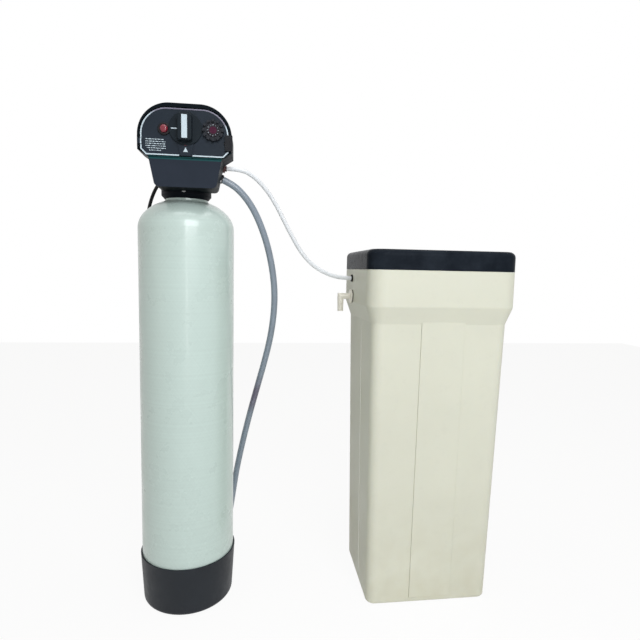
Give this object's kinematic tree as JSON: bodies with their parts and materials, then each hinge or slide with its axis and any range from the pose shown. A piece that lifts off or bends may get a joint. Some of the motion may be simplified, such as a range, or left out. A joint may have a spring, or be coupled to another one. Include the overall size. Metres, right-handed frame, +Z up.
{
  "type": "water softener",
  "caption": "Household water softener: resin vessel in a boot with a control valve and timer head, joined by a brine line to a lidded salt tank.",
  "frame": {"origin": "on the floor under the resin vessel's axis", "axes": "+Z up, -Y the front that the timer panel faces, +X from the resin vessel towards the brine tank"},
  "size_m": [0.8365, 0.4288, 1.076],
  "materials": {
    "black_plastic": "satin moulded plastic",
    "vessel_fibreglass": "glossy wound fibreglass",
    "grey_plastic": "moulded plastic",
    "white_plastic": "moulded plastic",
    "resin_beads": "packed beads",
    "black_noryl": "glass-filled plastic",
    "seal_rubber": "rubber",
    "piston_coat": "coated",
    "yoke_brass": "cast brass",
    "clip_steel": "stamped steel",
    "bright_steel": "zinc plated",
    "dark_brass": "dull brass",
    "nut_brown": "moulded plastic",
    "clamp_black": "black oxide",
    "cover_black": "satin black",
    "panel_charcoal": "fine texture",
    "border_white": "printed white",
    "motor_steel": "zinc plated can",
    "bezel_red": "gloss moulded",
    "knob_black": "satin moulded",
    "dial_dark": "moulded plastic",
    "dial_crimson": "printed",
    "button_red": "gloss moulded",
    "latch_black": "moulded plastic",
    "brine_cream": "rotomoulded polyethylene",
    "lid_black": "textured plastic",
    "white_tube": "polyethylene tube",
    "overflow_white": "moulded plastic",
    "float_foam": "foam",
    "hose_vinyl": "flexible vinyl",
    "cord_black": "flexible jacket"
  },
  "bodies": {
    "softener": {"tank_boot": "black_plastic", "resin_tank": "vessel_fibreglass", "bottom_distributor": "grey_plastic", "riser_tube": "white_plastic", "resin_bed": "resin_beads", "top_screen": "grey_plastic", "valve_body": "black_noryl", "valve_orings": "seal_rubber", "piston_seals": "seal_rubber", "seal_spacers": "white_plastic", "end_plug": "grey_plastic", "yoke": "yoke_brass", "yoke_clips": "clip_steel", "injector_body": "black_noryl", "injector_cap": "black_plastic", "brine_fitting": "dark_brass", "brine_nut": "nut_brown", "drain_elbow": "black_noryl", "hose_clamp": "clamp_black", "valve_cover": "cover_black", "hinge_pin": "bright_steel", "back_plate": "black_plastic", "valve_screws": "bright_steel", "strain_relief": "seal_rubber", "drive_bracket": "bright_steel", "brine_tank": "brine_cream", "line_grommet": "seal_rubber", "inner_brine_tube": "white_tube", "overflow_elbow": "overflow_white", "overflow_gasket": "seal_rubber", "overflow_nut": "overflow_white", "salt_grid": "white_plastic", "brine_well": "white_plastic", "air_check": "white_plastic", "float_rod": "white_plastic", "brine_line": "white_tube", "drain_hose": "hose_vinyl", "power_cord": "cord_black", "cord_coil": "cord_black", "cord_tie": "cord_black", "cord_plug": "cord_black"},
    "timer": {"timer_panel": "panel_charcoal", "panel_border": "border_white", "timer_housing": "grey_plastic", "timer_motor": "motor_steel", "button_bezel": "bezel_red"},
    "knob": {"control_knob": "knob_black", "knob_insert": "border_white", "main_gear": "white_plastic"},
    "pinion": {"motor_pinion": "white_plastic"},
    "dial": {"program_dial": "dial_dark", "dial_hub": "dial_crimson"},
    "button": {"time_set_button": "button_red"},
    "latch": {"panel_latch": "latch_black"},
    "crank": {"drive_crank": "white_plastic"},
    "piston_rod": {"piston": "piston_coat"},
    "brine_stem": {"brine_valve_stem": "bright_steel"},
    "lid": {"brine_lid": "lid_black"},
    "well_top": {"well_cap": "white_plastic"},
    "level_float": {"float": "float_foam"}
  },
  "joints": [
    {"name": "lid_lift", "type": "slide", "parent": "softener", "child": "lid", "axis": [0, 0, 1], "range_m": [0, 0.06]},
    {"name": "timer_swing", "type": "hinge", "parent": "softener", "child": "timer", "pos_m": [-0.077, -0.1101, 1], "axis": [0, 0, -1], "range_deg": [0, 100]},
    {"name": "knob_spin", "type": "hinge", "parent": "timer", "child": "knob", "pos_m": [0.013, -0.095, 1.0275], "axis": [0, -1, 0], "continuous": true},
    {"name": "pinion_spin", "type": "hinge", "parent": "timer", "child": "pinion", "pos_m": [-0.00821, -0.095, 1.00629], "axis": [0, -1, 0], "continuous": true},
    {"name": "dial_spin", "type": "hinge", "parent": "timer", "child": "dial", "pos_m": [0.0663, -0.11, 1.026], "axis": [0, -1, 0], "continuous": true},
    {"name": "button_press", "type": "slide", "parent": "timer", "child": "button", "axis": [0, 1, 0], "range_m": [0, 0.003], "stiffness_N_per_m": 300},
    {"name": "latch_slide", "type": "slide", "parent": "timer", "child": "latch", "axis": [-1, 0, 0], "range_m": [0, 0.0025], "stiffness_N_per_m": 400},
    {"name": "piston_slide", "type": "slide", "parent": "softener", "child": "piston_rod", "axis": [0, -1, 0], "range_m": [-0.009, 0.009]},
    {"name": "crank_spin", "type": "hinge", "parent": "softener", "child": "crank", "pos_m": [0.012, -0.056, 0.968], "axis": [1, 0, 0], "continuous": true},
    {"name": "brine_valve_slide", "type": "slide", "parent": "softener", "child": "brine_stem", "axis": [0, 1, 0], "range_m": [0, 0.004], "stiffness_N_per_m": 400},
    {"name": "cap_lift", "type": "slide", "parent": "softener", "child": "well_top", "axis": [0, 0, 1], "range_m": [0, 0.018]},
    {"name": "float_slide", "type": "slide", "parent": "softener", "child": "level_float", "axis": [0, 0, 1], "range_m": [0, 0.249]}
  ],
  "couplings": [
    {"joint": "pinion_spin", "follows": "knob_spin", "ratio": -4}
  ]
}
